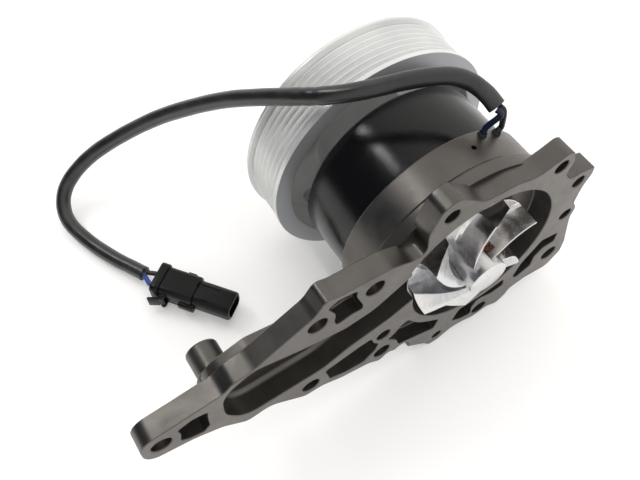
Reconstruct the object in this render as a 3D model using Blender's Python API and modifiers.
"""Electric water pump with a brushed motor, billet pump plate and a free-turning ribbed idler pulley.

Every solid is drawn in the shaft frame, in millimetres: the shaft axis is the Y axis, y = 0 is the
gasket face, +y points out of the pump mouth and -y towards the pulley, +x towards the long tail of
the plate, +z up. The last step moves everything so that the centre of the bottom of the whole
object's bounding box is the origin.

Radii are named _R and levels along the shaft _Y; a pair of levels is the two ends of a piece.
"Rear" pieces lie towards the pump mouth, "front" pieces towards the pulley.
"""
import math

import bmesh
import bpy
from mathutils import Matrix, Vector

MM = 0.001

# ---------------------------------------------------------------- dimensions shared by sections
BOSS_R = 52.3           # motor boss of the housing
BOSS_Y = -33.8
CHAMBER_R = 41.0        # brush chamber inside the boss
BRG_POCKET_R = 14.05    # pockets of the two motor bearings
BRG_REAR_Y = (-18.2, -26.2)
BRG_FRONT_Y = (-64.6, -72.6)
IDLER_BRG_Y = (-84.2, -96.2)
COLLAR_R = 17.5         # relief round each motor bearing pocket
TIE_R = 44.2            # radius of the two tie-bolt centres
TIE_ANGLES = (0, 180)
TIE_HOLE_R = 2.3
WIRE_HOLES = [(112.0, -30.6), (122.5, -30.4)]   # angle from +x towards +z, level

# ---------------------------------------------------------------- scene set-up
for old in list(bpy.data.objects):
    bpy.data.objects.remove(old, do_unlink=True)

PARTS = bpy.data.collections.new("electric_water_pump")
HELPERS = bpy.data.collections.new("cutters")
for collection in (PARTS, HELPERS):
    bpy.context.scene.collection.children.link(collection)
HELPERS.hide_render = True

# objects with these names are boolean operands, not parts; the ears belong to the connector
HELPER_PREFIXES = ("add_", "cut_", "ear", "arm1", "arm-1")

# ---------------------------------------------------------------- materials
MATERIALS = {           # name: base colour, metallic, roughness
    "anodised_grey": ((0.30, 0.29, 0.275), 0.85, 0.45),
    "gloss_black_paint": ((0.012, 0.012, 0.013), 0.0, 0.18),
    "cap_black": ((0.03, 0.03, 0.032), 0.3, 0.4),
    "machined_aluminium": ((0.82, 0.82, 0.80), 1.0, 0.22),
    "clear_anodised_aluminium": ((0.72, 0.73, 0.72), 0.9, 0.38),
    "bearing_steel": ((0.55, 0.56, 0.57), 1.0, 0.25),
    "plated_steel": ((0.62, 0.62, 0.60), 1.0, 0.35),
    "shaft_steel": ((0.60, 0.60, 0.60), 1.0, 0.28),
    "ferrite_magnet": ((0.07, 0.07, 0.075), 0.1, 0.7),
    "core_steel": ((0.26, 0.26, 0.27), 0.9, 0.5),
    "copper_winding": ((0.72, 0.33, 0.16), 1.0, 0.35),
    "commutator_copper": ((0.80, 0.42, 0.24), 1.0, 0.3),
    "brown_phenolic": ((0.22, 0.12, 0.06), 0.0, 0.6),
    "brass": ((0.75, 0.56, 0.25), 1.0, 0.35),
    "carbon": ((0.05, 0.05, 0.05), 0.2, 0.6),
    "seal_ceramic": ((0.80, 0.78, 0.72), 0.0, 0.3),
    "black_rubber": ((0.02, 0.02, 0.02), 0.0, 0.75),
    "cable_jacket": ((0.018, 0.018, 0.019), 0.0, 0.42),
    "wire_blue": ((0.03, 0.07, 0.28), 0.0, 0.4),
    "wire_black": ((0.015, 0.015, 0.016), 0.0, 0.4),
    "black_nylon": ((0.014, 0.014, 0.015), 0.0, 0.4),
    "spring_steel": ((0.5, 0.5, 0.5), 1.0, 0.3),
    "tinned_terminal": ((0.70, 0.70, 0.68), 1.0, 0.3),
}


def make_material(name, colour, metallic, roughness):
    mat = bpy.data.materials.new(name)
    mat.use_nodes = True
    inputs = mat.node_tree.nodes["Principled BSDF"].inputs
    inputs["Base Color"].default_value = (*colour, 1.0)
    inputs["Metallic"].default_value = metallic
    inputs["Roughness"].default_value = roughness
    mat.diffuse_color = (*colour, 1.0)
    return mat


MADE = {name: make_material(name, *values) for name, values in MATERIALS.items()}


def finish(obj, material_name, sharp=35.0):
    """Give obj its material and shade it smooth below the sharp angle; None keeps it as it is."""
    obj.data.materials.clear()
    obj.data.materials.append(MADE[material_name])
    if sharp is not None:
        obj.data.shade_smooth()
        obj.data.set_sharp_from_angle(angle=math.radians(sharp))


# ---------------------------------------------------------------- objects and booleans
def new_object(name, mesh):
    """Link a part, or a hidden wire-frame helper if the name says so."""
    is_helper = name.startswith(HELPER_PREFIXES)
    obj = bpy.data.objects.new(name, mesh)
    (HELPERS if is_helper else PARTS).objects.link(obj)
    if is_helper:
        obj.hide_render = True
        obj.display_type = "WIRE"
    return obj


def object_from_bmesh(name, shape):
    mesh = bpy.data.meshes.new(name)
    shape.to_mesh(mesh)
    shape.free()
    return new_object(name, mesh)


def clean(mesh):
    """Merge doubled points and turn the normals outwards."""
    shape = bmesh.new()
    shape.from_mesh(mesh)
    bmesh.ops.remove_doubles(shape, verts=shape.verts, dist=1e-6)
    bmesh.ops.recalc_face_normals(shape, faces=shape.faces)
    shape.to_mesh(mesh)
    shape.free()
    mesh.update()


def evaluated_mesh(obj):
    bpy.context.view_layer.update()
    graph = bpy.context.evaluated_depsgraph_get()
    return bpy.data.meshes.new_from_object(obj.evaluated_get(graph))


def object_from_source(name, data, set_up):
    """Place data in a temporary object, let set_up adjust it, and keep its evaluated shape."""
    source = bpy.data.objects.new(name + "_source", data)
    bpy.context.scene.collection.objects.link(source)
    set_up(source)
    mesh = evaluated_mesh(source)
    mesh.name = name
    mesh.transform(source.matrix_world)
    bpy.data.objects.remove(source, do_unlink=True)
    clean(mesh)
    return new_object(name, mesh)


def cut(obj, *others, operation="DIFFERENCE"):
    for other in others:
        boolean = obj.modifiers.new(other.name, "BOOLEAN")
        boolean.object = other
        boolean.operation = operation
        boolean.solver = "EXACT"


def unite(obj, *others):
    cut(obj, *others, operation="UNION")


def bake(obj):
    """Turn obj's modifiers into plain mesh so it can be used in a further step."""
    mesh = evaluated_mesh(obj)
    obj.modifiers.clear()
    obj.data = mesh


def joined(name, bodies):
    """One helper object out of several bodies, which are removed."""
    shape = bmesh.new()
    for body in bodies:
        shape.from_mesh(body.data)
        bpy.data.objects.remove(body, do_unlink=True)
    return object_from_bmesh(name, shape)


# ---------------------------------------------------------------- flat outlines and centre lines
def polar(radius, degrees):
    """The (x, z) point at an angle from +x towards +z."""
    angle = math.radians(degrees)
    return radius * math.cos(angle), radius * math.sin(angle)


def circle(radius, count):
    angles = [2 * math.pi * k / count for k in range(count)]
    return [(radius * math.cos(a), radius * math.sin(a)) for a in angles]


def fillet(corners, step=42.0):
    """Corners (x, z, radius) -> rounded polygon, each arc in pieces of at most step degrees."""
    points = []
    for i, (x, z, radius) in enumerate(corners):
        last_x, last_z, _ = corners[i - 1]
        next_x, next_z, _ = corners[(i + 1) % len(corners)]
        to_last = Vector((last_x - x, last_z - z))
        to_next = Vector((next_x - x, next_z - z))
        limit = 0.48 * min(to_last.length, to_next.length)
        to_last.normalize()
        to_next.normalize()
        turn = math.pi - math.acos(max(-1.0, min(1.0, to_last.dot(to_next))))
        if turn < math.radians(2.0):
            points.append((x, z))
            continue
        reach = radius * math.tan(turn / 2)
        if reach > limit:
            reach = limit
            radius = reach / math.tan(turn / 2)
        corner = Vector((x, z))
        centre = corner + (to_last + to_next).normalized() * (radius / math.cos(turn / 2))
        arm = corner + to_last * reach - centre
        sign = -1.0 if to_last.x * to_next.y - to_last.y * to_next.x > 0 else 1.0
        count = max(1, int(math.ceil(math.degrees(turn) / step)))
        for k in range(count + 1):
            angle = sign * turn * k / count
            cosine, sine = math.cos(angle), math.sin(angle)
            points.append((centre.x + arm.x * cosine - arm.y * sine,
                           centre.y + arm.x * sine + arm.y * cosine))
    return points


def spline(points, per_span):
    """Catmull-Rom points through the given centre-line points."""
    out = []
    last = len(points) - 1
    for i in range(last):
        before = Vector(points[max(i - 1, 0)])
        start, end = Vector(points[i]), Vector(points[i + 1])
        after = Vector(points[min(i + 2, last)])
        for k in range(per_span):
            t = k / per_span
            out.append(tuple(0.5 * (
                (2 * start) + (end - before) * t
                + (2 * before - 5 * start + 4 * end - after) * t * t
                + (3 * start - before - 3 * end + after) * t ** 3)))
    out.append(tuple(points[-1]))
    return out


# ---------------------------------------------------------------- basic solids
def add_polyline(curve, points, cyclic):
    line = curve.splines.new("POLY")
    line.points.add(len(points) - 1)
    for point, (x, y, z) in zip(line.points, points):
        point.co = (x * MM, y * MM, z * MM, 1.0)
    line.use_cyclic_u = cyclic


def prism(name, loops, levels, chamfer=0.0):
    """Flat outlines in the x-z plane, thickened between two levels, edges optionally chamfered."""
    low, high = min(levels), max(levels)
    curve = bpy.data.curves.new(name + "_outline", "CURVE")
    curve.dimensions = "2D"
    curve.fill_mode = "BOTH"
    for loop in loops:
        add_polyline(curve, [(x, z, 0.0) for x, z in loop], True)
    curve.extrude = (high - low) / 2 * MM - chamfer * MM
    if chamfer:
        curve.bevel_depth = chamfer * MM
        curve.bevel_resolution = 0
        curve.offset = -chamfer * MM

    def stand_up(source):
        source.rotation_euler = (math.pi / 2, 0, 0)
        source.location = (0, (low + high) / 2 * MM, 0)

    obj = object_from_source(name, curve, stand_up)
    bpy.data.curves.remove(curve)
    return obj


def turned(name, profile, steps):
    """Solid turned about the shaft axis from (radius, y) points.

    A profile that starts on the axis stays open; any other is closed into a loop.
    """
    mesh = bpy.data.meshes.new(name + "_profile")
    verts = [(radius * MM, 0.0, y * MM) for radius, y in profile]
    edges = [(i, i + 1) for i in range(len(verts) - 1)]
    if profile[0][0] > 0:
        edges.append((len(verts) - 1, 0))
    mesh.from_pydata(verts, edges, [])

    def spin(source):
        screw = source.modifiers.new("turn", "SCREW")
        screw.axis = "Z"
        screw.angle = 2 * math.pi
        screw.steps = steps
        screw.render_steps = steps
        screw.use_merge_vertices = True
        screw.merge_threshold = 0.00001
        source.rotation_euler = (-math.pi / 2, 0, 0)

    return object_from_source(name, mesh, spin)


def ring(name, inner, outer, levels, steps):
    low, high = min(levels), max(levels)
    return turned(name, [(outer, high), (outer, low), (inner, low), (inner, high)], steps)


def disc(name, radius, levels, steps):
    low, high = min(levels), max(levels)
    return turned(name, [(0.0, high), (radius, high), (radius, low), (0.0, low)], steps)


def rod(name, start, end, radius, segments=14):
    """Straight round bar between two points."""
    start, end = Vector(start) * MM, Vector(end) * MM
    shape = bmesh.new()
    bmesh.ops.create_cone(shape, cap_ends=True, segments=segments, radius1=radius * MM,
                          radius2=radius * MM, depth=(end - start).length)
    turn = (end - start).to_track_quat("Z", "Y").to_matrix().to_4x4()
    place = Matrix.Translation((start + end) / 2) @ turn
    bmesh.ops.transform(shape, matrix=place, verts=shape.verts)
    return object_from_bmesh(name, shape)


def axial_rod(name, centre, levels, radius, segments=14):
    """Rod parallel to the shaft through the (x, z) centre."""
    x, z = centre
    return rod(name, (x, levels[0], z), (x, levels[1], z), radius, segments)


def radial_rod(name, degrees, y, reach, radius, segments=14):
    """Rod square to the shaft, between the two distances from it given in reach."""
    (x0, z0), (x1, z1) = (polar(distance, degrees) for distance in reach)
    return rod(name, (x0, y, z0), (x1, y, z1), radius, segments)


def box(name, centre, size, bevel=0.0, segments=1, long_only=False):
    """Box with rounded edges; long_only rounds just those along x, so both ends stay flat."""
    shape = bmesh.new()
    bmesh.ops.create_cube(shape, size=1.0)
    scale = Matrix.Diagonal((size[0] * MM, size[1] * MM, size[2] * MM, 1.0))
    place = Matrix.Translation(Vector(centre) * MM) @ scale
    bmesh.ops.transform(shape, matrix=place, verts=shape.verts)
    if bevel:
        edges = [edge for edge in shape.edges
                 if not long_only or abs(edge.verts[0].co.x - edge.verts[1].co.x) > 1e-6]
        bmesh.ops.bevel(shape, geom=edges, offset=bevel * MM, segments=segments,
                        affect="EDGES", profile=0.5)
    return object_from_bmesh(name, shape)


def pipe(name, points, radius, resolution):
    """Round wire along a list of points, ends capped."""
    curve = bpy.data.curves.new(name + "_path", "CURVE")
    curve.dimensions = "3D"
    curve.bevel_depth = radius * MM
    curve.bevel_resolution = resolution
    curve.use_fill_caps = True
    add_polyline(curve, points, False)
    obj = object_from_source(name, curve, lambda source: None)
    bpy.data.curves.remove(curve)
    return obj


# ---------------------------------------------------------------- pump housing
PLATE_T = 10.5          # pump plate thickness
PAD_Y = -15.5           # level of the raised pad behind the volute and the outlet channel
PAD_CHAMFER = 0.6
BOSS_CHAMFER = 0.8
BOSS_FOOT = 1.4         # how far the foot of the boss stands out
CAVITY_Y = -12.5
CHANNEL_Y = -12.0
CHAMBER_Y = -24.0
SEAL_BORE_R = 10.6
SEAL_BORE_Y = -17.0
THROAT_R = 7.6
REAR_POCKET_Y = BRG_REAR_Y[0] + 0.2
COLLAR_Y = -27.0
POCKET_Y = -8.0
STUB_X = 129.0          # round stub under the bulb of the channel, at z = 0
STUB_R = 7.75
STUB_END_Y = -30.0
STUB_CHAMFER = 1.5
STUB_BORE_R = 5.0
SCALLOP_CENTRE = (37.5, -53.5)          # half-round relief in the lower edge
SCALLOP_R = 5.5
WIRE_HOLE_R = 2.3
WEEP_ANGLE, WEEP_Y, WEEP_R = 101.5, -25.3, 1.3
TIE_HOLE_DEPTH = 10.5
OVERRUN = 3.0           # how far cutters run past the face they open
LONG_OVERRUN = 4.0      # the same for the wide cutters

# spiral wall of the cavity from its tongue round to the outlet: angle from +z towards +x, radius
VOLUTE = (
    (92, 34.6), (100, 34.9), (110, 35.6), (120, 36.5), (130, 37.5), (140, 38.7), (150, 40.1),
    (160, 41.5), (170, 42.8), (180, 43.9), (190, 44.8), (200, 45.3), (215, 45.6), (416, 45.6),
)
VOLUTE_STEP = 8         # degrees

BOLT_HOLES = [          # x, z, radius of the drilled holes of the plate
    (162.5, 0.0, 4.8), (91.0, -31.5, 4.7), (50.0, -41.5, 4.7), (50.0, -23.0, 3.9),
    (13.5, -64.0, 3.0), (-14.5, -62.0, 4.6), (-58.5, -44.5, 4.8), (-58.5, -7.5, 3.7),
    (-58.0, 20.0, 3.7), (-40.5, 43.5, 3.9), (20.5, 54.0, 3.9), (57.0, 30.0, 4.8),
    (85.5, 26.0, 4.9),
]

# corner x, corner z, fillet radius, running clockwise seen from the pulley side
OUTLINE = [
    (171.5, 9.3, 8.5), (171.5, -9.3, 8.5), (150.0, -13.0, 30), (136.5, -18.5, 14),
    (125.0, -28.5, 6), (112.5, -26.5, 10), (94.5, -40.0, 8), (85.0, -39.5, 12),
    (74.0, -44.0, 20), (58.0, -47.0, 9), (50.5, -52.0, 4), (46.5, -47.5, 5),
    (38.0, -52.0, 16), (22.0, -65.5, 5), (18.0, -71.3, 3), (12.0, -71.3, 4),
    (4.0, -66.5, 9), (-4.0, -67.0, 12), (-11.5, -69.5, 9), (-20.5, -66.5, 7),
    (-28.0, -70.5, 4), (-33.5, -65.5, 4), (-35.5, -61.0, 3), (-45.5, -58.5, 12),
    (-61.0, -60.0, 6), (-68.5, -50.5, 5), (-68.5, -40.0, 12), (-63.8, -14.0, 12),
    (-65.2, -6.0, 5), (-61.8, 0.0, 8), (-63.0, 12.0, 14), (-66.5, 21.0, 8),
    (-66.2, 26.0, 1.5), (-58.0, 28.0, 10), (-50.5, 27.0, 5), (-45.5, 35.0, 6),
    (-48.5, 42.0, 5), (-45.5, 53.0, 5.5), (-36.0, 49.5, 12), (-26.0, 46.5, 14),
    (-14.0, 50.5, 20), (3.0, 51.0, 12), (18.5, 65.0, 7), (26.0, 61.5, 5.5),
    (31.5, 49.0, 10), (31.0, 36.5, 4.5), (38.0, 35.0, 8), (50.0, 39.7, 14),
    (75.0, 41.2, 8), (81.0, 43.5, 4), (86.5, 35.5, 10), (117.0, 20.0, 14),
    (127.0, 18.0, 7), (131.0, 14.0, 8), (150.0, 11.5, 40),
]
# outlet channel of the plate, from the volute out to the bulb over the stub: x, z, fillet
CHANNEL = [
    (30.0, 27.0, 6), (41.0, 20.0, 4), (57.0, 10.8, 14), (72.0, 8.5, 14), (95.0, 12.8, 30),
    (117.0, 19.0, 12), (132.5, 11.0, 14), (133.5, -8.0, 14), (125.5, -21.5, 13),
    (84.0, -19.8, 16), (70.0, -13.6, 20), (48.0, -8.2, 14), (28.0, 1.0, 2),
]
CHANNEL_PAD = [         # raised pad behind the channel: x, z, fillet
    (22.0, 40.0, 4), (43.0, 27.0, 6), (58.0, 15.5, 14), (72.0, 12.6, 14), (95.0, 17.0, 30),
    (113.0, 20.2, 10), (135.5, 13.0, 14), (137.0, -9.5, 14), (126.5, -25.0, 13),
    (84.0, -24.0, 16), (70.0, -18.5, 20), (48.0, -14.0, 14), (22.0, -20.0, 4),
]
POCKETS = [             # blind lightening pockets, each a list of corners: x, z, fillet
    [(154.5, 4.5, 2), (147.0, 7.0, 4), (140.0, 5.5, 2), (140.8, 0.0, 5), (141.2, -8.5, 2),
     (144.5, -11.8, 2), (151.0, -10.0, 4), (154.8, -7.2, 2), (153.5, -1.0, 5)],
    [(80.5, 35.5, 2), (75.5, 38.3, 2), (66.0, 36.8, 2), (66.3, 31.5, 4), (63.3, 22.0, 4),
     (62.8, 18.3, 1.5), (68.5, 18.8, 4), (76.5, 16.8, 2), (77.3, 22.0, 4), (76.5, 27.0, 5)],
    [(83.0, -25.0, 2), (72.0, -22.3, 6), (64.0, -20.2, 4), (57.3, -19.4, 1.5), (55.5, -26.0, 5),
     (52.5, -30.0, 2), (54.3, -35.0, 3), (61.0, -41.0, 2), (71.0, -40.3, 4), (80.5, -36.8, 2),
     (81.5, -31.0, 5)],
    [(47.2, -31.5, 1.5), (43.0, -29.0, 5), (40.3, -24.8, 3), (36.0, -22.3, 1.5),
     (29.0, -33.5, 40), (14.5, -45.0, 1.5), (17.0, -52.7, 1.5), (25.0, -50.0, 8),
     (39.5, -45.6, 2), (41.3, -38.5, 5)],
    [(4.5, -57.8, 1.5), (0.8, -48.0, 2.5), (-14.0, -47.0, 30), (-27.8, -43.6, 1.5),
     (-28.5, -50.3, 1.5), (-21.0, -52.2, 5), (-11.5, -49.5, 3), (-8.5, -56.0, 4),
     (-9.0, -63.2, 1.5), (-2.0, -61.8, 4)],
    [(-34.5, -47.0, 2), (-38.0, -36.0, 10), (-48.0, -22.8, 2.5), (-59.0, -24.8, 1.5),
     (-58.8, -32.5, 1.5), (-51.5, -32.8, 4), (-46.7, -38.0, 5), (-46.3, -46.2, 2),
     (-37.2, -50.9, 2)],
]
BOSS_PROFILE = [        # radius, y
    (0.0, -3.0), (BOSS_R - 4.0, -3.0), (BOSS_R - 4.0, -PLATE_T + 1.5),
    (BOSS_R + BOSS_FOOT, -PLATE_T + 1.5), (BOSS_R + BOSS_FOOT, PAD_Y + 0.3),
    (BOSS_R, PAD_Y - 1.1), (BOSS_R, BOSS_Y + BOSS_CHAMFER), (BOSS_R - BOSS_CHAMFER, BOSS_Y),
    (0.0, BOSS_Y),
]
STUB_PROFILE = [
    (0.0, -13.0), (STUB_R, -13.0), (STUB_R, STUB_END_Y + STUB_CHAMFER),
    (STUB_R - STUB_CHAMFER, STUB_END_Y), (0.0, STUB_END_Y),
]
BORES_PROFILE = [       # seal bore, throat, bearing pocket, collar and brush chamber
    (0.0, CAVITY_Y + 3.0), (SEAL_BORE_R, CAVITY_Y + 3.0), (SEAL_BORE_R, SEAL_BORE_Y),
    (THROAT_R, SEAL_BORE_Y), (THROAT_R, REAR_POCKET_Y), (BRG_POCKET_R, REAR_POCKET_Y),
    (BRG_POCKET_R, COLLAR_Y), (COLLAR_R, COLLAR_Y), (COLLAR_R, CHAMBER_Y),
    (CHAMBER_R, CHAMBER_Y), (CHAMBER_R, BOSS_Y - LONG_OVERRUN), (0.0, BOSS_Y - LONG_OVERRUN),
]


def volute_spiral():
    """The cavity wall as (x, z) points, evenly stepped between the table's stations."""
    stations = []
    for (angle0, radius0), (angle1, radius1) in zip(VOLUTE, VOLUTE[1:]):
        count = max(1, round((angle1 - angle0) / VOLUTE_STEP))
        for k in range(count):
            stations.append((angle0 + (angle1 - angle0) * k / count,
                             radius0 + (radius1 - radius0) * k / count))
    stations.append(VOLUTE[-1])
    return [(radius * math.sin(math.radians(angle)), radius * math.cos(math.radians(angle)))
            for angle, radius in stations]


def side_holes():
    """Wire holes and weep hole through the boss wall, tie-bolt holes in its end face."""
    holes = [radial_rod("cut_wire", angle, y, (CHAMBER_R - 4, BOSS_R + OVERRUN), WIRE_HOLE_R)
             for angle, y in WIRE_HOLES]
    holes.append(radial_rod("cut_weep", WEEP_ANGLE, WEEP_Y, (BOSS_R - 7, BOSS_R + OVERRUN),
                            WEEP_R, 10))
    holes += [axial_rod("cut_tie", polar(TIE_R, angle),
                        (BOSS_Y - OVERRUN, BOSS_Y + TIE_HOLE_DEPTH), TIE_HOLE_R)
              for angle in TIE_ANGLES]
    return joined("cut_side_holes", holes)


def build_housing():
    housing = prism("pump_housing", [fillet(OUTLINE)], (0.0, -PLATE_T))
    boss = turned("add_boss", BOSS_PROFILE, 48)
    pad = prism("add_channel_pad", [fillet(CHANNEL_PAD)], (-2.0, PAD_Y), PAD_CHAMFER)
    stub = turned("add_stub", STUB_PROFILE, 20)
    stub.data.transform(Matrix.Translation((STUB_X * MM, 0, 0)))
    unite(housing, boss, pad, stub)
    bake(housing)

    volute = prism("cut_volute", [volute_spiral()], (LONG_OVERRUN, CAVITY_Y))
    bores = turned("cut_cavity_and_bores", BORES_PROFILE, 48)
    channel = prism("cut_channel", [fillet(CHANNEL)], (LONG_OVERRUN, CHANNEL_Y))
    bolt_holes = joined("cut_bolt_holes", [
        axial_rod("cut_bolt", (x, z), (OVERRUN, -PLATE_T - 8), radius)
        for x, z, radius in BOLT_HOLES])
    pockets = joined("cut_pockets", [
        prism("cut_pocket", [fillet(corners, 60)], (OVERRUN, POCKET_Y)) for corners in POCKETS])
    stub_bore = axial_rod("cut_stub_bore", (STUB_X, 0.0),
                          (STUB_END_Y - OVERRUN, CAVITY_Y + 2), STUB_BORE_R)
    scallop = axial_rod("cut_scallop", SCALLOP_CENTRE, (OVERRUN, POCKET_Y), SCALLOP_R, 12)
    cut(housing, volute, bores, channel, bolt_holes, pockets, stub_bore, side_holes(), scallop)
    finish(housing, "anodised_grey", 30)


build_housing()

# ---------------------------------------------------------------- motor body
CAN_R = 49.8
CAN_IN_R = 47.3
CAN_Y = (-34.2, -70.0)
CAN_CHAMFER = 2.0
CAP_POCKET_Y = BRG_FRONT_Y[1] - 0.4
CAP_COLLAR_R = COLLAR_R - 0.5
CAP_PROFILE = [         # cap and the hollow spigot that carries the idler bearing: radius, y
    (0.0, CAP_POCKET_Y), (BRG_POCKET_R, CAP_POCKET_Y), (BRG_POCKET_R, -64.3),
    (CAP_COLLAR_R, -64.3), (CAP_COLLAR_R, -67.0), (47.0, -67.0), (47.0, -69.6), (46.0, -71.6),
    (24.0, -74.0), (13.0, -76.0), (13.0, IDLER_BRG_Y[0] + 0.2), (8.1, IDLER_BRG_Y[0] + 0.2),
    (8.1, -95.6), (4.3, -95.6), (4.3, -81.0), (0.0, -81.0),
]
TIE_SHANK_R = 1.9
TIE_SHANK_Y = (-24.5, -73.2)
TIE_HEAD_R = 3.6
TIE_HEAD_Y = (-72.6, -75.6)
MAGNETS = 4
MAGNET_R = (40.2, 46.9)
MAGNET_Y = (-38.0, -65.5)
MAGNET_SPAN = 66.0      # degrees
MAGNET_STEPS = 8
BRUSH_Y = -33.4
HOLDER_Z = 26.0         # distance of the brush holder's centre from the shaft
HOLDER_SIZE = (9.6, 9.0, 24.0)
HOLDER_HOLE_SIZE = (7.0, 6.4, 24.0)
HOLDER_WALL = 1.6       # left at the outer end of the holder
BRUSH_Z = 19.6
BRUSH_SIZE = (6.4, 5.8, 16.4)
SPRING_R = 2.0
SPRING_WIRE_R = 0.35
SPRING_Z = 28.5         # where the spring starts
SPRING_L = 6.6
SPRING_TURNS = 3
SPRING_STEPS = 24


def build_shell():
    """Can, front cap and the two tie bolts."""
    can = turned("motor_can", [
        (CAN_R, CAN_Y[0]), (CAN_R, CAN_Y[1] + CAN_CHAMFER), (CAN_R - CAN_CHAMFER, CAN_Y[1]),
        (CAN_IN_R, CAN_Y[1]), (CAN_IN_R, CAN_Y[0])], 48)
    finish(can, "gloss_black_paint")

    cap = turned("motor_front_cap", CAP_PROFILE, 30)
    cut(cap, joined("cut_cap_ties", [
        axial_rod("cut_tie", polar(TIE_R, angle), (-60, -80), TIE_HOLE_R)
        for angle in TIE_ANGLES]))
    finish(cap, "cap_black")

    for i, angle in enumerate(TIE_ANGLES):
        centre = polar(TIE_R, angle)
        head = axial_rod("add_tie_head_%d" % i, centre, TIE_HEAD_Y, TIE_HEAD_R, 16)
        bolt = axial_rod("tie_bolt_%s" % "ab"[i], centre, TIE_SHANK_Y, TIE_SHANK_R, 12)
        unite(bolt, head)
        finish(bolt, "plated_steel")


def build_magnets():
    for i in range(MAGNETS):
        start = 45.0 + 360.0 / MAGNETS * i - MAGNET_SPAN / 2
        angles = [start + MAGNET_SPAN * k / MAGNET_STEPS for k in range(MAGNET_STEPS + 1)]
        outer = [polar(MAGNET_R[1], angle) for angle in angles]
        inner = [polar(MAGNET_R[0], angle) for angle in reversed(angles)]
        magnet = prism("field_magnet_%d" % (i + 1), [outer + inner], MAGNET_Y)
        finish(magnet, "ferrite_magnet")


def build_brush(tag, side):
    """Holder, carbon brush and spring above (side 1) or below (side -1) the shaft."""
    holder = box("brush_holder_" + tag, (0, BRUSH_Y, side * HOLDER_Z), HOLDER_SIZE)
    hole_z = side * HOLDER_Z - side * HOLDER_WALL
    cut(holder, box("cut_holder_" + tag, (0, BRUSH_Y, hole_z), HOLDER_HOLE_SIZE))
    finish(holder, "brass", None)
    brush = box("carbon_brush_" + tag, (0, BRUSH_Y, side * BRUSH_Z), BRUSH_SIZE, 0.3)
    finish(brush, "carbon", None)
    coil = []
    for k in range(SPRING_STEPS + 1):
        angle = 2 * math.pi * SPRING_TURNS * k / SPRING_STEPS
        coil.append((SPRING_R * math.cos(angle), BRUSH_Y + SPRING_R * math.sin(angle),
                     side * (SPRING_Z + SPRING_L * k / SPRING_STEPS)))
    finish(pipe("brush_spring_" + tag, coil, SPRING_WIRE_R, 1), "spring_steel")


build_shell()
build_magnets()
finish(ring("brush_plate", 18.2, 40.4, (-24.5, -28.6), 48), "brown_phenolic")
# spare helper at the brush plate; no part uses it
box("cut_plate_relief", (0, -29.0, 0), (26, 3.0, 82))
build_brush("a", 1)
build_brush("b", -1)

# ---------------------------------------------------------------- rotor
SHAFT_PROFILE = [       # radius, y; thicker between the two bearings
    (0.0, 6.0), (5.65, 6.0), (5.65, -27.0), (6.7, -27.4), (6.7, -63.9), (5.65, -64.2),
    (5.65, BRG_FRONT_Y[1]), (0.0, BRG_FRONT_Y[1]),
]
SLOTS = 12
SLOT_PITCH = 360.0 / SLOTS
ROTOR_BORE = circle(7.05, 28)           # in the core and the commutator
CORE_R = 39.4
CORE_Y = (-41.0, -61.5)
TOOTH = [               # degrees from the tooth's centre line, radius; up to the next tooth
    (-12.5, CORE_R), (-6.0, CORE_R), (0.0, CORE_R), (6.0, CORE_R), (12.5, CORE_R),
    (12.0, 36.8), (6.0, 35.0), (10.2, 20.0), (SLOT_PITCH / 2, 19.4),
    (SLOT_PITCH - 10.2, 20.0), (SLOT_PITCH - 6.0, 35.0), (SLOT_PITCH - 12.0, 36.8),
]
WINDING_R = (19.0, 36.0)
WINDING_Y = (-38.2, -64.0)
WINDING_LAP = 0.35      # the end rings reach this far into the core
BAR = [(34.0, -7.6), (34.0, 7.6), (21.5, 3.2), (21.5, -3.2)]    # radius, degrees from slot centre
BAR_Y = (-39.2, -63.2)
COMM_Y = (-30.0, -37.0)
COMM_R = 11.0
COMM_SLOT_SIZE = (3.0, 20.0, 0.7)
COMM_SLOT_R = COMM_R + 0.9              # centres of the slot cutters


def build_core_and_winding():
    teeth = [polar(radius, SLOT_PITCH * i + degrees)
             for i in range(SLOTS) for degrees, radius in TOOTH]
    core = prism("armature_core", [teeth, ROTOR_BORE], CORE_Y)
    finish(core, "core_steel", None)

    rear = ring("add_winding_rear", *WINDING_R, (WINDING_Y[0], CORE_Y[0] + WINDING_LAP), 36)
    front = ring("add_winding_front", *WINDING_R, (CORE_Y[1] - WINDING_LAP, WINDING_Y[1]), 36)
    bars = []
    for i in range(SLOTS):
        centre = SLOT_PITCH * (i + 0.5)
        corners = [polar(radius, centre + degrees) for radius, degrees in BAR]
        bars.append(prism("add_bar", [corners], BAR_Y))
    winding = new_object("armature_winding", rear.data.copy())
    unite(winding, front, joined("add_winding_bars", bars))
    finish(winding, "copper_winding", 30)


def build_commutator():
    comm = prism("commutator", [circle(COMM_R, 36), ROTOR_BORE], COMM_Y)
    slots = []
    for i in range(SLOTS):
        slot = box("cut_slot", (0, 0, 0), COMM_SLOT_SIZE)
        slot.data.transform(Matrix.Rotation(-math.radians(SLOT_PITCH * i), 4, "Y"))
        x, z = polar(COMM_SLOT_R, SLOT_PITCH * i)
        slot.data.transform(Matrix.Translation(Vector((x, sum(COMM_Y) / 2, z)) * MM))
        slots.append(slot)
    cut(comm, joined("cut_comm_slots", slots))
    finish(comm, "commutator_copper", 30)


finish(turned("rotor_shaft", SHAFT_PROFILE, 28), "shaft_steel")
build_core_and_winding()
build_commutator()

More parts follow.
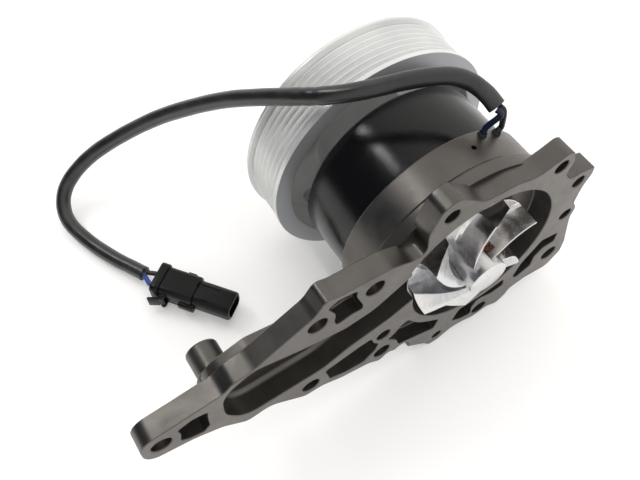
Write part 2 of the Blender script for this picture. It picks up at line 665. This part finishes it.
# ---------------------------------------------------------------- bearings and shaft seal
# name, levels, bore radius, outer radius, ball radius, ball pitch radius, balls, turning steps
BEARINGS = [
    ("rear_bearing", BRG_REAR_Y, 6.02, 13.75, 1.9, 10.0, 6, 20),
    ("front_bearing", BRG_FRONT_Y, 6.02, 13.75, 1.9, 10.0, 6, 20),
    ("idler_bearing", IDLER_BRG_Y, 8.5, 19.7, 2.9, 14.2, 7, 24),
]
BALL_PLAY = 0.38        # groove radius beyond the ball radius
GROOVE_ANGLES = (-54, -18, 18, 54)
SEAL_PROFILE = [        # radius, y
    (9.9, -12.2), (10.5, -12.8), (10.5, -16.7), (6.6, -16.7), (6.6, -13.2), (7.6, -12.2),
]


def build_bearing(name, levels, bore, outer_r, ball_r, pitch, balls, steps):
    """Outer race, inner race and the ball-and-cage ring between them."""
    low, high = min(levels), max(levels)
    middle = (low + high) / 2
    groove_r = ball_r + BALL_PLAY
    groove = [(groove_r * math.cos(math.radians(angle)), groove_r * math.sin(math.radians(angle)))
              for angle in GROOVE_ANGLES]
    outer_lip = pitch + ball_r * 0.55
    inner_lip = pitch - ball_r * 0.55
    outer = [(outer_r, high), (outer_r, low), (outer_lip, low)]
    outer += [(pitch + across, middle + along) for across, along in groove]
    outer += [(outer_lip, high)]
    inner = [(inner_lip, high)]
    inner += [(pitch - across, middle - along) for across, along in groove]
    inner += [(inner_lip, low), (bore, low), (bore, high)]
    finish(turned(name + "_outer_race", outer, steps), "bearing_steel")
    finish(turned(name + "_inner_race", inner, steps), "bearing_steel")

    cage = ring(name + "_ball_cage", pitch - ball_r * 0.35, pitch + ball_r * 0.35,
                (middle - ball_r * 0.8, middle + ball_r * 0.8), 20)
    bodies = []
    for x, z in circle(pitch, balls):
        shape = bmesh.new()
        bmesh.ops.create_uvsphere(shape, u_segments=8, v_segments=4, radius=ball_r * MM)
        place = Matrix.Translation(Vector((x, middle, z)) * MM)
        bmesh.ops.transform(shape, matrix=place, verts=shape.verts)
        bodies.append(object_from_bmesh("add_ball", shape))
    unite(cage, joined("add_%s_balls" % name, bodies))
    finish(cage, "brass", 30)


for bearing in BEARINGS:
    build_bearing(*bearing)
finish(turned("shaft_seal_body", SEAL_PROFILE, 32), "carbon")
finish(ring("shaft_seal_seat", 6.1, 9.4, (-10.1, -11.9), 24), "seal_ceramic")

# ---------------------------------------------------------------- impeller
BLADES = 6
TIP_R = 33.5
DISC_R = TIP_R - 0.1
DISC_TOP = -7.0
DISC_BOTTOM = -9.6
HUB_R = 10.2
HUB_END_Y = 10.8
HUB_CHAMFER = 0.5
BORE_R = 6.0
BORE_Y = (6.4, -14.0)
# one blade, station by station outwards: radius, angle of its high edge in degrees from +z
# towards +x, level of that edge, width of the ramp beside it and how far the ramp falls
BLADE = (
    (8.6, 46.0, 6.6, 1.8, 0.6), (10.2, 42.0, 7.0, 2.2, 0.8), (12.0, 37.0, 7.2, 2.8, 1.2),
    (15.0, 28.5, 7.0, 4.2, 2.0), (19.0, 20.0, 6.5, 6.4, 3.2), (22.0, 14.0, 6.1, 8.2, 4.0),
    (27.0, 5.0, 5.4, 11.0, 5.2), (32.0, -2.0, 4.8, 13.4, 6.0), (36.0, -7.0, 4.4, 15.5, 6.6),
)
BLADE_ROWS = 8          # sections lofted between the first station and the tip
SCREW_ANGLE = 115.0     # of the first set screw; the second lies opposite
SCREW_Y = 1.9


def blade_at(radius):
    """Angle, top level, ramp width and ramp fall read straight-line from the blade table."""
    for inner, outer in zip(BLADE, BLADE[1:]):
        if radius <= outer[0] + 1e-9:
            t = (radius - inner[0]) / (outer[0] - inner[0])
            return [a + (b - a) * t for a, b in zip(inner[1:], outer[1:])]


def blade(name, turn):
    """One blade, lofted outwards: a steep scooped flank, a thin land, and a ramp falling away."""
    shape = bmesh.new()
    rows = []
    for k in range(BLADE_ROWS):
        radius = BLADE[0][0] + (TIP_R - BLADE[0][0]) * k / (BLADE_ROWS - 1)
        angle, top, width, fall = blade_at(radius)
        scoop = min(1.0, (radius / 30.0) ** 1.3)        # the scoop shrinks towards the hub
        section = [             # distance round the arc, level
            (5.0 * scoop, DISC_TOP - 0.6), (4.6 * scoop, DISC_TOP + 0.1),
            (1.6 * scoop, DISC_TOP + 2.0), (0.3 * scoop, DISC_TOP + 6.0),
            (0.0, top), (-1.1, top), (-width, top - fall), (-width - 1.2, DISC_TOP - 0.6),
        ]
        row = []
        for arc, y in section:
            bearing_angle = math.radians(angle + turn) + arc / radius
            row.append(shape.verts.new((radius * math.sin(bearing_angle) * MM, y * MM,
                                        radius * math.cos(bearing_angle) * MM)))
        rows.append(row)
    for inner, outer in zip(rows, rows[1:]):
        for i in range(len(inner)):
            j = (i + 1) % len(inner)
            shape.faces.new((inner[i], inner[j], outer[j], outer[i]))
    shape.faces.new(rows[0][::-1])
    shape.faces.new(rows[-1])
    bmesh.ops.recalc_face_normals(shape, faces=shape.faces)
    bmesh.ops.triangulate(shape, faces=shape.faces)
    return object_from_bmesh(name, shape)


def build_impeller():
    """Back disc, hub and swept wedge blades in one piece, with two set screws."""
    impeller = turned("impeller", [
        (0.0, HUB_END_Y), (HUB_R - HUB_CHAMFER, HUB_END_Y), (HUB_R, HUB_END_Y - HUB_CHAMFER),
        (HUB_R, DISC_TOP), (DISC_R, DISC_TOP), (DISC_R, DISC_BOTTOM), (0.0, DISC_BOTTOM)], 44)
    for i in range(BLADES):
        unite(impeller, blade("add_blade_%d" % i, 360.0 / BLADES * i))
        bake(impeller)
    bore = disc("cut_impeller_bore", BORE_R, BORE_Y, 28)
    angles = (SCREW_ANGLE, SCREW_ANGLE + 180.0)
    screw_holes = joined("cut_set_screws", [
        radial_rod("cut_screw", angle, SCREW_Y, (4.5, 14), 2.1) for angle in angles])
    cut(impeller, bore, screw_holes)
    finish(impeller, "machined_aluminium", 32)
    for tag, angle in zip("ab", angles):
        screw = radial_rod("impeller_set_screw_" + tag, angle, SCREW_Y, (6.3, 9.4), 1.95, 12)
        finish(screw, "plated_steel")


build_impeller()

# ---------------------------------------------------------------- idler pulley
PULLEY_Y = (-75.9, -104.6)
PULLEY_R = 63.5
REAR_RIM_R = 63.1
CUP_R = 54.1
RIBS = 6
RIB_PITCH = 3.56
RIB_TOP_R = 62.2
RIB_ROOT_R = 59.8
RIB_START_Y = -79.6
HUB_Y = (-83.0, -104.0)
DUST_CAP_PROFILE = [    # radius, y
    (0.0, -103.3), (17.5, -103.3), (19.3, -102.0), (19.3, -98.2), (20.6, -98.2),
    (20.6, -103.0), (19.6, -104.3), (0.0, -104.3),
]


def pulley_profile():
    """Section of the pulley: rear rim, ribs, front rim, cup, web and hub."""
    profile = [(CUP_R, PULLEY_Y[0]), (REAR_RIM_R - 0.5, PULLEY_Y[0]),
               (REAR_RIM_R, PULLEY_Y[0] - 0.5), (REAR_RIM_R, -78.6)]
    for k in range(RIBS):
        y = RIB_START_Y - RIB_PITCH * k
        profile += [(RIB_ROOT_R, y - 0.4), (RIB_TOP_R, y - 1.9), (RIB_TOP_R, y - 2.5)]
    return profile + [
        (RIB_ROOT_R, RIB_START_Y - RIB_PITCH * RIBS - 0.4), (PULLEY_R, -102.8),
        (PULLEY_R, PULLEY_Y[1] + 0.6), (PULLEY_R - 0.6, PULLEY_Y[1]), (CUP_R, PULLEY_Y[1]),
        (CUP_R, -101.5), (26.0, -101.5), (24.5, HUB_Y[1]), (21.0, HUB_Y[1]), (21.0, -96.4),
        (20.02, -96.4), (20.02, -83.9), (19.0, -83.9), (19.0, HUB_Y[0]), (24.5, HUB_Y[0]),
        (26.0, -97.0), (CUP_R, -97.0)]


finish(turned("idler_pulley", pulley_profile(), 40), "clear_anodised_aluminium", 30)

snap_ring = ring("bearing_snap_ring", 18.2, 20.8, (-96.7, -97.7), 28)
cut(snap_ring, box("cut_snap_gap", (0, -97.0, 19.5), (5.0, 4.0, 5.0)))
finish(snap_ring, "spring_steel")

finish(turned("hub_dust_cap", DUST_CAP_PROFILE, 32), "cap_black")
finish(ring("idler_washer", 4.4, 12.5, (-96.5, -98.3), 28), "plated_steel")

hex_head = prism("add_hex_head", [circle(7.5, 6)], (-98.6, -102.6), chamfer=0.5)
idler_bolt = disc("idler_bolt", 4.0, (-81.5, -99.5), 20)
unite(idler_bolt, hex_head)
finish(idler_bolt, "plated_steel")

# ---------------------------------------------------------------- motor leads and sheath
SHEATH_R = 4.1
WIRE_R = 1.4
CABLE = [               # centre line of the jacketed lead: x, y, z
    (-25.5, -31.5, 62.5), (-23.5, -38.0, 66.5), (-19.5, -44.5, 70.0), (-13.5, -49.0, 72.5),
    (-6.0, -52.5, 73.5), (4.0, -57.0, 73.0), (15.0, -62.0, 71.0), (26.0, -68.0, 68.5),
    (35.5, -76.5, 64.5), (43.5, -88.5, 58.0), (52.0, -104.0, 48.5), (61.5, -121.0, 37.0),
    (73.5, -138.5, 23.0), (88.0, -155.5, 7.5), (104.5, -169.5, -8.5), (121.0, -179.0, -22.5),
    (134.0, -182.0, -32.5), (144.5, -180.0, -40.5), (150.5, -173.5, -47.0),
    (151.5, -163.0, -51.5), (146.5, -147.0, -54.5), (139.5, -131.5, -55.5),
    (134.0, -121.5, -55.5), (129.8, -113.7, -55.4),
]
SHEATH_GAP = 0.8        # between the ends of the wires and the ends of the sheath's line
LEAD_SPREAD = 1.75      # of each lead from the sheath's centre line
LEAD_R = (38.0, 54.6, 57.0)             # distances from the shaft of the lead's radial run


def square_to(offset, axis):
    """The share of offset that is square to the unit vector axis."""
    return offset - axis * offset.dot(axis)


def build_lead(tag, angle, y, side, material_name):
    """A wire from the brush chamber to the sheath, and the grommet in its hole."""
    sheath_dir = (Vector(CABLE[1]) - Vector(CABLE[0])).normalized()
    offset = Vector((1.0, 0.0, 0.45)).normalized() * (LEAD_SPREAD * side)
    end = Vector(CABLE[0]) - sheath_dir * SHEATH_GAP + square_to(offset, sheath_dir)
    run = []
    for distance in LEAD_R:
        x, z = polar(distance, angle)
        run.append((x, y, z))
    points = run[:1] + spline(run[1:] + [tuple(end - sheath_dir * 3.0), tuple(end)], 4)
    finish(pipe("motor_lead_" + tag, points, WIRE_R, 1), material_name)

    grommet = radial_rod("lead_grommet_" + tag, angle, y, (43.5, 53.6), 2.05)
    cut(grommet, radial_rod("cut_grommet_" + tag, angle, y, (40.0, 56.0), 1.65))
    finish(grommet, "black_rubber")


build_lead("a", *WIRE_HOLES[0], 1, "wire_blue")
build_lead("b", *WIRE_HOLES[1], -1, "wire_black")
finish(pipe("lead_sheath", spline(CABLE, 2), SHEATH_R, 2), "cable_jacket")

# ---------------------------------------------------------------- connector
# drawn in its own frame: x along it from its cable end, y across, z up
CONN_CENTRE = (125.5, -105.5, -55.0)    # cable end of the connector, on its long axis
CONN_DIR = (-0.6, 0.8, 0.0)
TERMINAL_Y = 3.4        # terminals lie this far either side of the long axis
HINGE = (8.0, -10.2, -0.8)              # the hinge line of the flap runs up
FLAP_REST = 70.0        # degrees the open flap leans back from square
WIRE_SPREAD = 1.8       # of each connector wire from the sheath's centre line
CONN_ADDITIONS = [      # name, centre, size, rounding of the long edges, its segments
    ("add_connector_shroud", (34.0, 0, -0.2), (24.0, 15.4, 11.6), 4.0, 3),
    ("add_connector_ramp", (21.5, -8.2, -1.0), (9.0, 4.4, 5.0), 1.4, 1),
    ("add_connector_nub", (17.5, 8.4, 2.0), (5.0, 2.6, 2.0), 0.0, 1),
    ("add_connector_rear", (2.7, 0, 0.4), (5.0, 18.4, 14.2), 2.0, 1),
]
CONN_OPENINGS = [       # same columns
    ("cut_connector_mouth", (39.5, 0, -0.2), (19.0, 11.6, 7.8), 2.2, 2),
    ("cut_connector_rear", (1.0, 0, 0), (12.0, 13.0, 7.6), 0.0, 1),
]

along = Vector(CONN_DIR).normalized()
up = Vector((0, 0, 1))
CONN_FRAME = Matrix.Translation((0, 0, 0))
for column, axis in enumerate((along, up.cross(along), up, Vector(CONN_CENTRE) * MM)):
    for row in range(3):
        CONN_FRAME[row][column] = axis[row]


def hinge_ear(side):
    """Round ear with a square arm, above (side 1) or below (side -1) the flap."""
    x, y, z = HINGE
    ear = rod("ear%d" % side, (x, y, z + side * 3.1), (x, y, z + side * 4.6), 1.5)
    unite(ear, box("arm%d" % side, (x, y + 1.5, z + side * 3.85), (3.0, 3.0, 1.5)))
    bake(ear)
    return ear


def terminal_bores(name, start_x, end_x, radius):
    return joined(name, [
        rod("cut_bore", (start_x, side * TERMINAL_Y, 0), (end_x, side * TERMINAL_Y, 0), radius, 10)
        for side in (1, -1)])


def build_connector_body():
    body = box("connector_body", (12.5, 0, 0), (24.0, 17.0, 13.0), 3.0, 2, long_only=True)
    additions = [box(*row, long_only=True) for row in CONN_ADDITIONS]
    additions += [hinge_ear(1), hinge_ear(-1)]
    openings = [box(*row, long_only=True) for row in CONN_OPENINGS]
    openings.append(terminal_bores("cut_terminal_bores", 4.0, 34.0, 1.75))
    x, y, z = HINGE
    openings.append(rod("cut_flap_pin", (x, y, z - 6.0), (x, y, z + 6.0), 1.0, 12))
    for addition in additions:
        unite(body, addition)
        bake(body)
    for opening in openings:
        cut(body, opening)
        bake(body)
    for obj in (body, *additions, *openings):
        obj.data.transform(CONN_FRAME)
    finish(body, "black_nylon", 30)


def build_wire_seal():
    seal = box("connector_wire_seal", (2.6, 0, 0), (7.6, 12.4, 7.0))
    bores = terminal_bores("cut_seal_bores", -4.0, 10.0, 1.55)
    cut(seal, bores)
    for obj in (seal, bores):
        obj.data.transform(CONN_FRAME)
    finish(seal, "black_rubber", None)


def build_terminal(tag, side, material_name):
    """A terminal pin and the wire from it back to the end of the sheath."""
    y = side * TERMINAL_Y
    terminal = rod("connector_terminal_" + tag, (8.6, y, 0), (37.0, y, 0), 1.45, 10)
    terminal.data.transform(CONN_FRAME)
    finish(terminal, "tinned_terminal")

    sheath_end = Vector(CABLE[-1])
    back = (Vector(CABLE[-2]) - sheath_end).normalized()
    inner = CONN_FRAME @ (Vector((8.2, y, 0)) * MM) / MM
    outer = CONN_FRAME @ (Vector((-3.5, y, 0)) * MM) / MM
    offset = Vector((0.8, 0.6, 0)) * (-WIRE_SPREAD * side)
    end = sheath_end + square_to(offset, back) - back * SHEATH_GAP
    near_end = end - back * 1.4
    points = [tuple(inner)] + spline([outer, (outer + near_end) / 2, near_end, end], 3)
    finish(pipe("connector_wire_" + tag, points, WIRE_R, 1), material_name)


def build_flap():
    """Open lock flap with its barrel and pin; its origin lies on the hinge line."""
    flap = box("connector_lock_flap", (0, 0, 0), (7.4, 6.0, 1.4), 0.4, long_only=True)
    flap.data.transform(Matrix.Rotation(math.radians(90), 4, "Y"))
    flap.data.transform(Matrix.Translation(Vector((0, -4.9, 0)) * MM))
    barrel = rod("add_flap_barrel", (0, 0, -2.8), (0, 0, 2.8), 1.1)
    pin = rod("add_flap_pin", (0, 0, -4.5), (0, 0, 4.5), 0.7, 12)
    web = box("add_flap_web", (0, -1.5, 0), (1.2, 1.8, 5.4))
    unite(flap, web, barrel, pin)
    bake(flap)
    clean(flap.data)
    hinge = CONN_FRAME @ (Vector(HINGE) * MM)
    lean = Matrix.Rotation(math.radians(-FLAP_REST), 4, "Z")
    place = CONN_FRAME @ Matrix.Translation(Vector(HINGE) * MM) @ lean
    flap.data.transform(Matrix.Translation(-hinge) @ place)
    flap.location = hinge
    finish(flap, "black_nylon", None)


build_connector_body()
build_wire_seal()
build_terminal("a", 1, "wire_black")
build_terminal("b", -1, "wire_blue")
build_flap()


# ---------------------------------------------------------------- origin
def move_to_origin():
    """Bring the centre of the bottom of the bounding box of all parts to the origin."""
    bpy.context.view_layer.update()
    graph = bpy.context.evaluated_depsgraph_get()
    points = [vertex.co + obj.location
              for obj in PARTS.objects for vertex in obj.evaluated_get(graph).data.vertices]
    low = [min(point[k] for point in points) for k in range(3)]
    high = [max(point[k] for point in points) for k in range(3)]
    origin = Vector(((low[0] + high[0]) / 2, (low[1] + high[1]) / 2, low[2]))
    for obj in [*PARTS.objects, *HELPERS.objects]:
        obj.location = obj.location - origin


move_to_origin()
